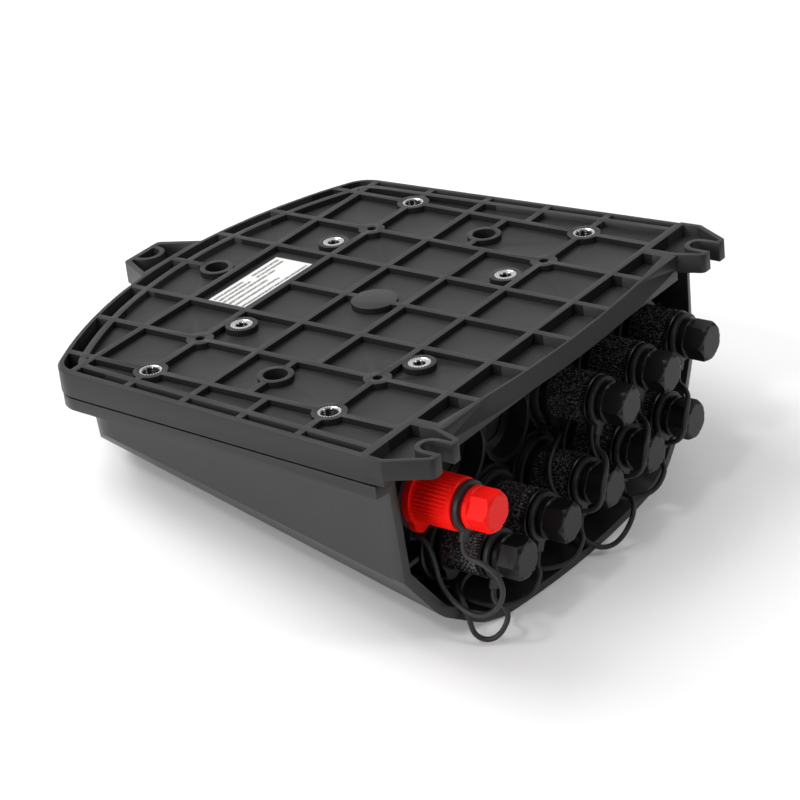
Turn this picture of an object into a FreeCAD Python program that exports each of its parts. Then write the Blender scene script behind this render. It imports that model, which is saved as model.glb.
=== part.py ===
import FreeCAD, Part
import math
import os
from FreeCAD import Vector

# Fibre distribution end box, lying on its front with the mounting face up.
# Millimetres. X runs from the hanging ear to the ports, Y across the box, Z out of
# the mounting face. The origin is the middle of the four wall inserts, on that face.

# Rib grid of the back plate
RIB_PITCH = 27.0
EDGE_PITCH = 28.5
LAST_ROW_X = 70.5
RIB = 2.8
POCKET = 2.4
LAST_POCKET = 4.4
RIM_POCKET = 7.0

# Port places: the width of the box follows from them
PORT_PITCH = 29.0
PORT_EDGE = 28.5
UPPER_Z = -31.0
LOWER_Z = -57.3

# Outline of the box
HALF_WIDTH = 2.5 * PORT_PITCH + PORT_EDGE
TAPER = 0.059
NOSE_X = -100.0
NOSE_R = 200.0
CORNER_R = 13.0
PLATE = 10.0
PLATE_WEB = 2.6
RIM_WALL = 2.4
SIDE_POCKET = 3.4
NOSE_POCKET = 5.4
SEAL_BAND = 8.6
SEAM = 0.2
BEVEL = 0.8

# Port end of the plate: bowed hood, straight skirt and two slotted ears
BOW_R = 450.0
BOW_X = 87.6
HOOD_DROP = 5.4
HOOD_RUN = 3.8
HOOD_WALL = 1.0
SKIRT_X = 85.0
EAR_X = 94.5
EAR_OUT = 97.2
EAR_IN = 81.0
EAR_ROOT_X = 83.0
EAR_ROOT_Y = 77.0
EAR_CHAMFER_X = 79.0
EAR_THICK = 7.3
EAR_POCKET = 4.6
EAR_WALL = 2.0
SLOT_Y = 89.0
SLOT_W = 7.0
SLOT_END_X = 84.3

# Hanging ear
HANG_X = -114.6
HANG_TIP = 10.4
HANG_ROOT = 18.5
HANG_THICK = 8.4
HANG_HOLE_R = 4.9
HANG_HOLE_X = -112.4
HANG_HOLE_FLAT = 1.0

# Threaded inserts, wells, pads and small holes in the plate
INSERT_R = 4.3
INSERT_BORE_R = 2.5
INSERT_LONG = 8.0
INSERT_PLAY = 0.1
WALL_BOSS_R = 6.5
FRAME_INSERT_R = 4.3
FRAME_BORE_R = 2.1
FRAME_LONG = 7.0
FRAME_BOSS_R = 6.1
FRAME_NEAR = (-33.75, -37.8)
FRAME_FAR = (47.25, -37.8)
WELL_R = 4.6
WELL_BOSS_R = 6.7
WELL_FLOOR = 2.2
WELLS = ((-75.9, 0.0), (4.6, -66.7), (4.6, 66.7))
SCREW_R = 2.0
SCREW_LONG = 16.0
HEAD_R = 4.0
HEAD_H = 2.6
HEX_KEY = 3.0
SMALL_HOLE_R = 1.8
SMALL_BOSS_R = 5.2
PAD_R = 8.9
LABEL = (-62.6, -23.2, 18.9, 43.7)
LABEL_THICK = 0.3

# Front cover: flange, wedge-shaped tub, shroud round the ports
FLANGE = 5.4
TUB_INSET = 5.7
NOSE_INSET = 8.5
TUB_CORNER_R = 18.0
WALL = 3.0
DRAFT = 0.056
FRONT_Z = -87.5
FRONT_X = 86.0
FRONT_SLOPE = 0.254
FACET = ((0.0, 34.6), (15.4, 14.0), (34.6, 2.6), (46.0, 0.0))
FACET_R = 20.0
FACET_OUT = 30.0
TUB_NOSE_R = 36.0
SIDE_STEP = 1.2
SIDE_STEP_X = 71.0
FLANGE_LIP_R = 4.0
BAR = 6.0
POST_R = 6.2

# Seal between plate and cover
GROOVE_IN = 2.4
GROOVE_W = 2.4
GROOVE_H = 2.0

# Port panel
PANEL_X = 58.0
PANEL = 3.5
SOCKET_R = 15.2
SOCKET_WALL = 2.0
SOCKET_LONG = 8.0
BLANK_R = 9.0
BLANK_DEEP = 1.0
WEB = 2.0
WEB_LONG = 7.0

# Adapter, its seal and nut
NECK_R = 8.0
PORT_PLAY = 0.2
SEAL_R = 12.0
SEAL_THICK = 1.6
FLANGE_R = 12.6
FLANGE_THICK = 3.0
FRONT_FLANGE_R = 11.2
FRONT_FLANGE = 2.6
LOBE_R = 5.0
LOBE_REACH = 13.4
SLEEVE_R = 9.3
SLEEVE_END_X = 87.0
RIM_R = 9.6
RIM_LONG = 2.2
GRIP_GROOVE = 0.5
BORE_R = 6.8
BORE_FLOOR_X = 64.0
NECK_BACK_X = 44.0
NUT_AF = 20.0
NUT = 4.0

# Dust plug
PLUG_NECK_R = 5.6
PLUG_NECK_X = 67.0
BEAD_R = 6.3
BEAD_X = 80.0
BEAD_W = 2.0
SHOULDER_R = 6.5
RING_GAP = 0.9
RING = 1.8
RING_X = SLEEVE_END_X + RING_GAP
COLLAR_GAP = 1.3
COLLAR_R = 7.8
COLLAR_X = RING_X + RING + COLLAR_GAP
COLLAR = 2.0
HEX_AF = 13.6
HEX_LONG = 8.0
HEX_END_X = COLLAR_X + COLLAR + HEX_LONG
HEX_FACE_R = 6.5
HEX_CHAMFER = 1.7

# Tether: ring on the plug, ring on the adapter, strap between them
RING_R = 9.2
RING_PLAY = 0.4
BASE_X = 66.2
BASE = 2.0
BASE_R = 13.0
TAIL_W = 4.2
TAIL_R = 12.8
BASE_TAIL_R = 16.6
STRAP_R = 14.9
STRAP_STUB = 4.7
STRAP_END_RUN = 5.0
TAIL_TURN = 25.0
STRAP_D = 2.0
BEND_SHARE = 0.45

# Splice tray and splitter inside
TRAY = (-52.0, 30.0, 54.0)
TRAY_Z = -30.0
TRAY_WALL = 1.6
TRAY_H = 9.0
LEG_R = 4.5
LEG_PILOT_R = 1.2
TRAY_SCREW_R = 1.5
TRAY_HEAD_R = 2.8
TRAY_HEAD_H = 2.0
TRAY_SCREW_LONG = 10.0
HUB_R = 18.0
HUB_EDGE = 6.0
SPLITTER = (60.0, 12.0, 6.0)

BIG = 400.0
FAR_X = 130.0
END_X = 110.0
SIDE_LOW = 110.0


def box(x0, x1, y0, y1, z0, z1):
    return Part.makeBox(x1 - x0, y1 - y0, z1 - z0, Vector(x0, y0, z0))


def rod(x, y, r, z0, z1):
    return Part.makeCylinder(r, z1 - z0, Vector(x, y, z0), Vector(0, 0, 1))


def rod_x(y, z, r, x0, x1):
    return Part.makeCylinder(r, x1 - x0, Vector(x0, y, z), Vector(1, 0, 0))


def prism(points, z0, z1):
    loop = Part.makePolygon([Vector(x, y, z0) for x, y in points + points[:1]])
    return Part.Face(loop).extrude(Vector(0, 0, z1 - z0))


def half_width(x, inset=0.0):
    return HALF_WIDTH + TAPER * x - inset


def outline(side, nose, end_x, z0, z1, corner=CORNER_R):
    """Prism of the box's outline, its sides and its bowed nose set in by their own amounts."""
    radius = NOSE_R - nose
    centre_x = NOSE_X + NOSE_R
    x = NOSE_X + nose
    for _ in range(30):
        x = centre_x - math.sqrt(radius ** 2 - half_width(x, side) ** 2)
    y = half_width(x, side)
    y_end = half_width(end_x, side)
    arc = Part.Arc(Vector(x, y, z0), Vector(centre_x - radius, 0, z0), Vector(x, -y, z0))
    edges = [arc.toShape()]
    corners = [Vector(x, -y, z0), Vector(end_x, -y_end, z0), Vector(end_x, y_end, z0), Vector(x, y, z0)]
    edges += [Part.LineSegment(a, b).toShape() for a, b in zip(corners[:-1], corners[1:])]
    solid = Part.Face(Part.Wire(edges)).extrude(Vector(0, 0, z1 - z0))
    rounds = [e for e in solid.Edges if abs(e.BoundBox.ZLength - (z1 - z0)) < 1e-6 and e.BoundBox.XMin < x + 1]
    return solid.makeFillet(corner, rounds)


def bow(x, z0, z1, spread=0.0):
    """Cylinder whose face is the bowed port end, its middle at x, wider by spread at the bottom."""
    centre = Vector(x - BOW_R, 0, z0)
    return Part.makeCone(BOW_R + spread, BOW_R, z1 - z0, centre) if spread else \
        Part.makeCylinder(BOW_R, z1 - z0, centre)


def rib_ys():
    inner = [RIB_PITCH * j for j in (-2, -1, 0, 1, 2)]
    edge = inner[-1] + EDGE_PITCH
    return [-edge] + inner + [edge]


def rib_xs():
    return [RIB_PITCH * i for i in (-2.5, -1.5, -0.5, 0.5, 1.5)] + [LAST_ROW_X]


def insert_places():
    x, y = RIB_PITCH * 1.5, rib_ys()[-1]
    return [(-x, -y), (x, -y), (x, y), (-x, y)]


def small_hole_places():
    x, y = RIB_PITCH * 1.5, RIB_PITCH * 2
    return [(-x, -y), (x, -y), (x, y), (-x, y)]


def frame_insert_places():
    return [FRAME_NEAR, FRAME_FAR, (-FRAME_NEAR[0], -FRAME_NEAR[1]), (-FRAME_FAR[0], -FRAME_FAR[1])]


def grid_ribs(z0, z1):
    """The ribs of the plate's grid. One is left out for the label and two for the wells."""
    xs, ys = rib_xs(), rib_ys()
    h = RIB / 2
    ribs = []
    for i, x in enumerate(xs):
        for j, (y0, y1) in enumerate(zip(ys[:-1], ys[1:])):
            if i == 3 and j in (0, 5):
                continue
            ribs.append(box(x - h, x + h, y0 - h, y1 + h, z0, z1))
        for side in (-1, 1):
            y0, y1 = sorted((side * ys[-1], side * (HALF_WIDTH + 10)))
            ribs.append(box(x - h, x + h, y0, y1, z0, z1))
    for j, y in enumerate(ys):
        for i, (x0, x1) in enumerate(zip(xs[:-1], xs[1:])):
            if i == 0 and j == 3:
                continue
            ribs.append(box(x0 - h, x1 + h, y - h, y + h, z0, z1))
        ribs.append(box(xs[-1] - h, BIG / 4, y - h, y + h, z0, z1))
        ribs.append(box(NOSE_X - 10, xs[0] + h, y - h, y + h, z0, z1))
    for x, y in WELLS[1:]:
        side = math.copysign(1.0, y)
        y0, y1 = sorted((side * ys[-1], side * ys[-2]))
        ribs.append(box(x - h, x + h, y0, y1, z0, z1))
    return ribs


def plate_bosses(z0, z1):
    bosses = [rod(x, y, WALL_BOSS_R, z0, z1) for x, y in insert_places()]
    bosses += [rod(x, y, FRAME_BOSS_R, z0, z1) for x, y in frame_insert_places()]
    bosses += [rod(x, y, SMALL_BOSS_R, z0, z1) for x, y in small_hole_places()]
    bosses += [rod(x, y, WELL_BOSS_R, z0, z1) for x, y in WELLS]
    return bosses


def ear_points(side, grow=0.0):
    x0 = LAST_ROW_X
    points = [(x0, half_width(x0)), (EAR_CHAMFER_X, half_width(EAR_CHAMFER_X)), (EAR_X, EAR_OUT),
              (EAR_X, EAR_IN), (EAR_ROOT_X, EAR_ROOT_Y), (x0, EAR_ROOT_Y - grow)]
    points = [(x, side * y) for x, y in points]
    return points if side > 0 else points[::-1]


def ear_slot(side, grow, z0, z1):
    r = SLOT_W / 2 + grow
    x = SLOT_END_X + SLOT_W / 2
    y = side * SLOT_Y
    return rod(x, y, r, z0, z1).fuse(box(x, EAR_X + 5, y - r, y + r, z0, z1))


def ear_pocket(side):
    loop = Part.makePolygon([Vector(x, y, -EAR_POCKET) for x, y in ear_points(side) + ear_points(side)[:1]])
    inner = Part.Face(loop).makeOffset2D(-EAR_WALL)
    pocket = inner.extrude(Vector(0, 0, EAR_POCKET + 1))
    return pocket.cut(ear_slot(side, EAR_WALL, -PLATE, 2))


def hanging_ear():
    tip, root = HANG_TIP, HANG_ROOT
    x_in = NOSE_X + RIM_WALL
    body = prism([(x_in, -root), (x_in, root), (HANG_X, tip), (HANG_X, -tip)], -HANG_THICK, 0)
    upright = [e for e in body.Edges
               if abs(e.BoundBox.ZLength - HANG_THICK) < 1e-6 and e.BoundBox.XMax < HANG_X + 1]
    return body.makeFillet(2.5, upright)


def hanging_hole(grow, z0, z1):
    """D-shaped hole, flat towards the tip of the ear."""
    r = HANG_HOLE_R + grow
    x = HANG_HOLE_X + HANG_HOLE_FLAT
    round_end = rod(x, 0, r, z0, z1).common(box(x, x + r, -r, r, z0, z1))
    return round_end.fuse(box(HANG_HOLE_X - grow, x, -r, r, z0, z1))


def hanging_pocket():
    t = RIM_WALL
    points = [(NOSE_X - 0.2, -HANG_ROOT + t + 1), (NOSE_X - 0.2, HANG_ROOT - t - 1),
              (HANG_X + t, HANG_TIP - t + 0.6), (HANG_X + t, -HANG_TIP + t - 0.6)]
    return prism(points, -HANG_THICK + 1.6, 1).cut(hanging_hole(RIM_WALL - 0.4, -PLATE, 2))


def shallow_pockets():
    """Tool for all the pockets between the ribs, out to the rib that follows the rim."""
    side = RIM_WALL + SIDE_POCKET + RIB
    nose = RIM_WALL + NOSE_POCKET + RIB
    region = outline(side, nose, LAST_ROW_X, -POCKET, 1, CORNER_R - 5)
    keep = grid_ribs(-PLATE, 2) + plate_bosses(-PLATE, 2) + [rod(0, 0, PAD_R, -PLATE, 2)]
    return region.cut(keep)


def rim_pockets():
    """Tool for the narrow deep pockets just inside the rim."""
    region = outline(RIM_WALL, RIM_WALL, LAST_ROW_X, -RIM_POCKET, 1, CORNER_R - 2)
    inner = outline(RIM_WALL + SIDE_POCKET, RIM_WALL + NOSE_POCKET, LAST_ROW_X + 1, -PLATE, 2, CORNER_R - 4)
    return region.cut([inner] + grid_ribs(-PLATE, 2))


def last_row_pockets():
    """Tool for the deeper row of pockets behind the hood."""
    y = EAR_ROOT_Y - RIB
    region = box(LAST_ROW_X, BIG / 4, -y, y, -LAST_POCKET, 1)
    region = region.common(bow(BOW_X - HOOD_WALL, -PLATE, 2))
    return region.cut(grid_ribs(-PLATE, 2))


def back_plate():
    slab = outline(0, 0, LAST_ROW_X + 1, -PLATE, 0)
    rim = [e for e in slab.Edges if e.BoundBox.ZMin > -0.01 and e.BoundBox.XMax < LAST_ROW_X]
    body = slab.makeChamfer(BEVEL, rim)
    hollow = outline(SEAL_BAND, SEAL_BAND, PANEL_X - BAR, -PLATE, -POCKET - PLATE_WEB, CORNER_R - 4)
    body = body.cut(hollow.cut(plate_bosses(-PLATE - 1, 0)))
    parts = [box(LAST_ROW_X, SKIRT_X, -EAR_ROOT_Y, EAR_ROOT_Y, -PLATE, 0)]
    hood = bow(BOW_X, -HOOD_DROP, 0, HOOD_RUN)
    parts.append(hood.common(box(LAST_ROW_X, BIG / 4, -EAR_ROOT_Y, EAR_ROOT_Y, -HOOD_DROP, 0)))
    for side in (-1, 1):
        ear = prism(ear_points(side, 1.0), -EAR_THICK, 0)
        tips = [e for e in ear.Edges
                if abs(e.BoundBox.ZLength - EAR_THICK) < 1e-6 and e.BoundBox.XMin > EAR_X - 0.1]
        parts.append(ear.makeFillet(2.5, tips))
        y0, y1 = sorted((side * (EAR_ROOT_Y - 1), side * half_width(LAST_ROW_X)))
        parts.append(box(LAST_ROW_X, EAR_CHAMFER_X, y0, y1, -PLATE, -EAR_THICK))
    body = body.fuse(parts + [hanging_ear()])
    cuts = [shallow_pockets(), rim_pockets(), last_row_pockets(), hanging_pocket(), hanging_hole(0, -PLATE, 2)]
    for side in (-1, 1):
        cuts += [ear_slot(side, 0, -PLATE - 1, 2), ear_pocket(side)]
    cuts += [rod(x, y, INSERT_R + INSERT_PLAY, -INSERT_LONG, 1) for x, y in insert_places()]
    cuts += [rod(x, y, FRAME_INSERT_R + INSERT_PLAY, -FRAME_LONG, 1) for x, y in frame_insert_places()]
    cuts += [rod(x, y, SMALL_HOLE_R, -INSERT_LONG, 1) for x, y in small_hole_places()]
    cuts += [rod(x, y, WELL_R, -PLATE + WELL_FLOOR, 1) for x, y in WELLS]
    cuts += [rod(x, y, SCREW_R + 0.3, -PLATE - 1, 0) for x, y in WELLS]
    return body.cut(cuts)


def insert(x, y, r, bore, depth):
    """Knurled metal insert with a blind bore, flush with the mounting face."""
    return rod(x, y, r, -depth, 0).cut(rod(x, y, bore, -depth + 1.0, 1))


def front_z(x):
    """Height of the middle of the sloping front face."""
    return FRONT_Z + FRONT_SLOPE * (FRONT_X - x)


def drafted(side, nose, end_x, low, top, corner):
    """Outline whose walls lean inwards all round, so that it is smaller at the bottom."""
    rims = []
    for z, lean in ((low, DRAFT * (top - low)), (top, 0.0)):
        slab = outline(side + lean, nose + lean, end_x, z, z + 1, corner)
        lowest = min(slab.Faces, key=lambda f: f.BoundBox.ZMax)
        rims.append(lowest.OuterWire)
    return Part.makeLoft(rims, True, True)


def tub(grow, x_end, top, step=0.0):
    """Wedge-shaped body: the port-end section run along the slope, inside the leaning walls."""
    half = half_width(PANEL_X, TUB_INSET) + grow
    low = front_z(PANEL_X) - grow
    (in0, up0), (in1, up1) = FACET[:2]
    out = FACET_OUT / math.hypot(in1 - in0, up1 - up0)
    wide = (half - in0 + out * (in1 - in0), low + up0 + out * (up0 - up1))
    right = [wide] + [(half - inward, low + up) for inward, up in FACET[1:]]
    tall = (wide[0], wide[1] + -FRONT_Z)
    section = [(-tall[0], tall[1])] + [(-y, z) for y, z in right] + right[::-1] + [tall]
    run = 280.0
    start_x = PANEL_X + 60
    lift = -FRONT_SLOPE * 60
    points = [Vector(start_x, y, z + lift) for y, z in section]
    face = Part.Face(Part.makePolygon(points + points[:1]))
    wedge = face.extrude(Vector(-run, 0, run * FRONT_SLOPE))
    long_edges = [e for e in wedge.Edges if e.BoundBox.XLength > run - 1 and abs(e.CenterOfMass.y) < half - 1]
    wedge = wedge.makeFillet(FACET_R, long_edges)
    side = TUB_INSET + step - grow
    walls = drafted(side, NOSE_INSET - grow, x_end, -SIDE_LOW, top, TUB_CORNER_R + grow)
    return wedge.common(walls).common(nose_profile(grow))


def nose_profile(grow):
    """Side view that rounds the front face up into the nose wall."""
    r = TUB_NOSE_R
    x0 = NOSE_X + NOSE_INSET - grow
    angle = math.atan(FRONT_SLOPE)
    z0 = front_z(x0) - grow / math.cos(angle)
    reach = r / math.tan((math.pi / 2 + angle) / 2)
    corner = Vector(x0, 0, z0)
    up = corner + Vector(0, 0, reach)
    along = corner + Vector(math.cos(angle), 0, -math.sin(angle)) * reach
    centre = up + Vector(r, 0, 0)
    mid_dir = (corner - centre).normalize()
    middle = centre + mid_dir * r
    far = Vector(FAR_X, 0, z0 - (FAR_X - x0) * FRONT_SLOPE)
    arc = Part.Arc(up, middle, along).toShape()
    top = 20.0
    corners = [along, far, Vector(FAR_X, 0, top), Vector(x0, 0, top), up]
    lines = [Part.LineSegment(a, b).toShape() for a, b in zip(corners[:-1], corners[1:])]
    face = Part.Face(Part.Wire([arc] + lines))
    solid = face.extrude(Vector(0, 2 * BIG, 0))
    solid.translate(Vector(0, -BIG, 0))
    return solid


def port_centres():
    """Middles of the eleven places in the panel: six in the upper row, five in the lower."""
    upper = [((k - 2.5) * PORT_PITCH, UPPER_Z) for k in range(6)]
    lower = [((k - 2) * PORT_PITCH, LOWER_Z) for k in range(5)]
    return upper, lower


def fitted_ports():
    """The nine ports in use, in the order of their numbers."""
    upper, lower = port_centres()
    return [upper[0], lower[0], upper[5], upper[4], upper[3], lower[4], lower[3], lower[2], lower[1]]


def blank_ports():
    upper, _ = port_centres()
    return upper[1:3]


def panel_ribs():
    """Short tubes round the ports, joined into a net, with webs to the walls."""
    upper, lower = port_centres()
    x1 = PANEL_X + SOCKET_LONG
    rings = [rod_x(y, z, SOCKET_R, PANEL_X - 0.5, x1) for y, z in upper + lower]
    webs = []
    for y, z in lower:
        webs.append(box(PANEL_X - 0.5, PANEL_X + WEB_LONG, y - WEB / 2, y + WEB / 2, z - 40, z))
    for y, z in (upper[0], upper[5], lower[0], lower[4]):
        y0, y1 = sorted((y, y + math.copysign(50, y)))
        webs.append(box(PANEL_X - 0.5, PANEL_X + WEB_LONG, y0, y1, z - WEB / 2, z + WEB / 2))
    net = rings[0].fuse(rings[1:] + webs)
    bores = [rod_x(y, z, SOCKET_R - SOCKET_WALL, PANEL_X - 1, x1 + 1) for y, z in upper + lower]
    return net.cut(bores)


def front_cover():
    top = -PLATE - SEAM
    flange_low = top - FLANGE
    raised = tub(0, END_X, top).common(box(SIDE_STEP_X, BIG, -BIG, BIG, -BIG, BIG))
    flange = outline(0.3, 0.3, EAR_CHAMFER_X, flange_low, top)
    lip = [e for e in flange.Edges if e.BoundBox.XMin > EAR_CHAMFER_X - 0.1 and e.BoundBox.ZMax < flange_low + 0.1]
    flange = flange.makeFillet(FLANGE_LIP_R, lip)
    body = tub(0, END_X, top, SIDE_STEP).fuse([raised, flange])
    body = body.common(bow(BOW_X, -130, 0))
    inner = tub(-WALL, END_X, top + 1)
    room = tub(-WALL, END_X, top + 1, SIDE_STEP).common(box(-BIG, PANEL_X - PANEL, -BIG, BIG, -BIG, BIG))
    shroud = inner.common(box(PANEL_X, BIG, -BIG, BIG, -BIG, BIG))
    bar = inner.common(box(PANEL_X - BAR, PANEL_X, -BIG, BIG, flange_low, top))
    inside = tub(-WALL + 0.5, END_X, top)
    body = body.cut([room, shroud]).fuse([bar, panel_ribs().common(inside)])
    posts = [rod(x, y, POST_R, front_z(x) - 5, top) for x, y in WELLS]
    posts += [rod(x, y, LEG_R, front_z(x) - 5, TRAY_Z) for x, y in legs()]
    body = body.fuse([p.common(inside) for p in posts])
    cuts = [gasket_ring(0.0)]
    cuts += [rod(x, y, SCREW_R - 0.3, top - SCREW_LONG, top + 1) for x, y in WELLS]
    cuts += [rod(x, y, LEG_PILOT_R, TRAY_Z - TRAY_SCREW_LONG, TRAY_Z + 1) for x, y in legs()]
    cuts += [rod_x(y, z, NECK_R + PORT_PLAY, PANEL_X - PANEL - 1, PANEL_X + 1) for y, z in fitted_ports()]
    cuts += [rod_x(y, z, BLANK_R, PANEL_X - BLANK_DEEP, PANEL_X + 1) for y, z in blank_ports()]
    return body.cut(cuts)


def gasket_ring(play):
    """Closed loop in the flange, along the sides, round the nose and across the port panel."""
    top = -PLATE
    low = top - SEAM - GROOVE_H
    end = PANEL_X - (BAR - GROOVE_W) / 2
    outer = outline(GROOVE_IN + play, GROOVE_IN + play, end - play, low, top, CORNER_R - 3)
    wide = GROOVE_IN + GROOVE_W - play
    inner = outline(wide, wide, end - GROOVE_W + play, low - 1, top + 1, CORNER_R - 5)
    return outer.cut(inner)


def cover_screw(x, y):
    """Socket-head screw at the bottom of a well."""
    seat = -PLATE + WELL_FLOOR
    head = rod(x, y, HEAD_R, seat, seat + HEAD_H)
    shank = rod(x, y, SCREW_R - 0.35, -PLATE - SCREW_LONG + 1, seat)
    across = HEX_KEY / 2 / math.cos(math.pi / 6)
    turns = [math.radians(60 * k) for k in range(6)]
    points = [(x + across * math.cos(a), y + across * math.sin(a)) for a in turns]
    return head.fuse(shank).cut(prism(points, seat + 1.0, seat + HEAD_H + 1))


def hexagon_x(y, z, flats, x0, x1):
    r = flats / 2 / math.cos(math.pi / 6)
    points = [Vector(x0, y + r * math.cos(math.radians(60 * k)), z + r * math.sin(math.radians(60 * k)))
              for k in range(7)]
    return Part.Face(Part.makePolygon(points)).extrude(Vector(x1 - x0, 0, 0))


def turned_x(y, z, profile):
    """Solid of revolution about a port's axis, from (x, radius) points."""
    loop = Part.makePolygon([Vector(x, y, z + r) for x, r in profile + profile[:1]])
    return Part.Face(loop).revolve(Vector(0, y, z), Vector(1, 0, 0), 360)


def adapter(y, z):
    """Port adapter: threaded neck through the panel, flange, ribbed sleeve with an end rim."""
    seat = PANEL_X + SEAL_THICK
    sleeve = seat + FLANGE_THICK
    rim = SLEEVE_END_X - RIM_LONG
    front = BASE_X + BASE + 0.1
    body = turned_x(y, z, [
        (NECK_BACK_X, 0), (NECK_BACK_X, NECK_R), (seat, NECK_R), (seat, FLANGE_R), (sleeve, FLANGE_R),
        (sleeve, SLEEVE_R), (rim - 1.2, SLEEVE_R), (rim - 1.2, SLEEVE_R - GRIP_GROOVE),
        (rim, SLEEVE_R - GRIP_GROOVE), (rim, RIM_R), (SLEEVE_END_X - 0.4, RIM_R),
        (SLEEVE_END_X, RIM_R - 0.4), (SLEEVE_END_X, BORE_R), (BORE_FLOOR_X, BORE_R), (BORE_FLOOR_X, 0)])
    ring = rod_x(y, z, FRONT_FLANGE_R, front, front + FRONT_FLANGE)
    lobe = rod_x(y, z - LOBE_REACH + LOBE_R, LOBE_R, front, front + FRONT_FLANGE)
    lobe.rotate(Vector(0, y, z), Vector(1, 0, 0), -TAIL_TURN)
    flange = ring.fuse(lobe).cut(rod_x(y, z, SLEEVE_R - 1, 0, BIG / 4))
    return body.fuse(flange)


def port_seal(y, z):
    hole = rod_x(y, z, NECK_R + PORT_PLAY, 0, BIG / 4)
    return rod_x(y, z, SEAL_R, PANEL_X, PANEL_X + SEAL_THICK).cut(hole)


def lock_nut(y, z):
    x1 = PANEL_X - PANEL
    return hexagon_x(y, z, NUT_AF, x1 - NUT, x1).cut(rod_x(y, z, NECK_R + PORT_PLAY, 0, BIG / 4))


def dust_plug(y, z):
    """Plug: sealing bead on the neck, shoulder for the tether ring, collar, chamfered hexagon."""
    b0, b1 = BEAD_X - BEAD_W / 2, BEAD_X + BEAD_W / 2
    collar_end = COLLAR_X + COLLAR
    shoulder = SLEEVE_END_X + 0.4
    core = turned_x(y, z, [
        (PLUG_NECK_X, 0), (PLUG_NECK_X, PLUG_NECK_R - 1), (PLUG_NECK_X + 1, PLUG_NECK_R),
        (b0, PLUG_NECK_R), (b0, BEAD_R), (b1, BEAD_R), (b1, PLUG_NECK_R), (shoulder, PLUG_NECK_R),
        (shoulder, SHOULDER_R), (COLLAR_X, SHOULDER_R), (COLLAR_X, COLLAR_R),
        (collar_end - 0.6, COLLAR_R), (collar_end, COLLAR_R - 0.6), (collar_end, 0)])
    head = hexagon_x(y, z, HEX_AF, collar_end - 0.1, HEX_END_X)
    across = HEX_AF / 2 / math.cos(math.pi / 6) + 0.1
    shape = turned_x(y, z, [
        (collar_end - 0.2, 0), (collar_end - 0.2, across), (HEX_END_X - HEX_CHAMFER, across),
        (HEX_END_X, HEX_FACE_R), (HEX_END_X, 0)])
    return core.fuse(head.common(shape))


def tail(y, z, x0, x1, r0, r1, turn):
    """Flat tongue that stands out from a ring, turned from straight down towards the near side."""
    bar = box(x0, x1, y - TAIL_W / 2, y + TAIL_W / 2, z - r1, z - r0)
    bar.rotate(Vector(0, y, z), Vector(1, 0, 0), -turn)
    return bar


def tether_ring(y, z):
    x1 = RING_X + RING
    ring = rod_x(y, z, RING_R, RING_X, x1)
    ring = ring.fuse(tail(y, z, RING_X, x1, RING_R - 1, TAIL_R, TAIL_TURN))
    return ring.cut(rod_x(y, z, SHOULDER_R + RING_PLAY, 0, BIG / 4))


def tether_base(y, z):
    x1 = BASE_X + BASE
    ring = rod_x(y, z, BASE_R, BASE_X, x1)
    ring = ring.fuse(tail(y, z, BASE_X, x1, BASE_R - 1, BASE_TAIL_R, TAIL_TURN))
    return ring.cut(rod_x(y, z, SLEEVE_R + PORT_PLAY, 0, BIG / 4))


# Routes of the straps, as (x, towards the near side, down) from each port's axis, between
# the short straight runs at the tail of the plug's ring and at the adapter's ring.
UPPER_ROUTE = ((95.0, 11.0, 15.5), (100.5, 18.0, 15.5), (102.5, 24.5, 20.0), (102.0, 26.0, 27.5),
               (96.0, 26.2, 32.0), (88.0, 26.2, 31.5), (81.0, 26.0, 27.0), (77.5, 22.8, 19.0),
               (76.0, 14.5, 14.0))
LOWER_ROUTE = ((96.0, 9.5, 15.5), (98.5, 15.5, 20.5), (96.0, 21.5, 27.5), (92.0, 27.0, 28.8),
               (87.0, 31.5, 24.5), (80.0, 28.0, 19.5), (76.5, 17.5, 16.0))
FIRST_ROUTE = ((97.0, 6.5, 17.5), (102.8, 5.2, 22.5), (103.0, 4.4, 30.5), (98.0, 4.2, 38.0),
               (90.0, 4.3, 42.0), (81.5, 4.7, 38.4), (76.5, 5.4, 31.5), (76.0, 6.3, 21.5))
SECOND_ROUTE = ((95.8, 6.5, 18.0), (94.5, 9.0, 25.0), (90.0, 11.5, 29.5), (85.2, 14.5, 27.0),
                (84.0, 15.2, 19.5), (81.5, 14.4, 12.8), (76.0, 10.5, 12.2))


def strap_points(number, y, z):
    route = LOWER_ROUTE if z == LOWER_Z else UPPER_ROUTE
    if number <= 2:
        route = (FIRST_ROUTE, SECOND_ROUTE)[number - 1]
    turn = math.radians(TAIL_TURN)

    def on_tail(x, r):
        return Vector(x, y - r * math.sin(turn), z - r * math.cos(turn))

    ring_x = RING_X + RING / 2
    base_x = BASE_X + BASE
    start = [on_tail(ring_x, TAIL_R), on_tail(ring_x, TAIL_R + STRAP_STUB)]
    end = [on_tail(base_x + STRAP_END_RUN, STRAP_R), on_tail(base_x, STRAP_R)]
    return start + [Vector(x, y - near, z - down) for x, near, down in route] + end


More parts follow.
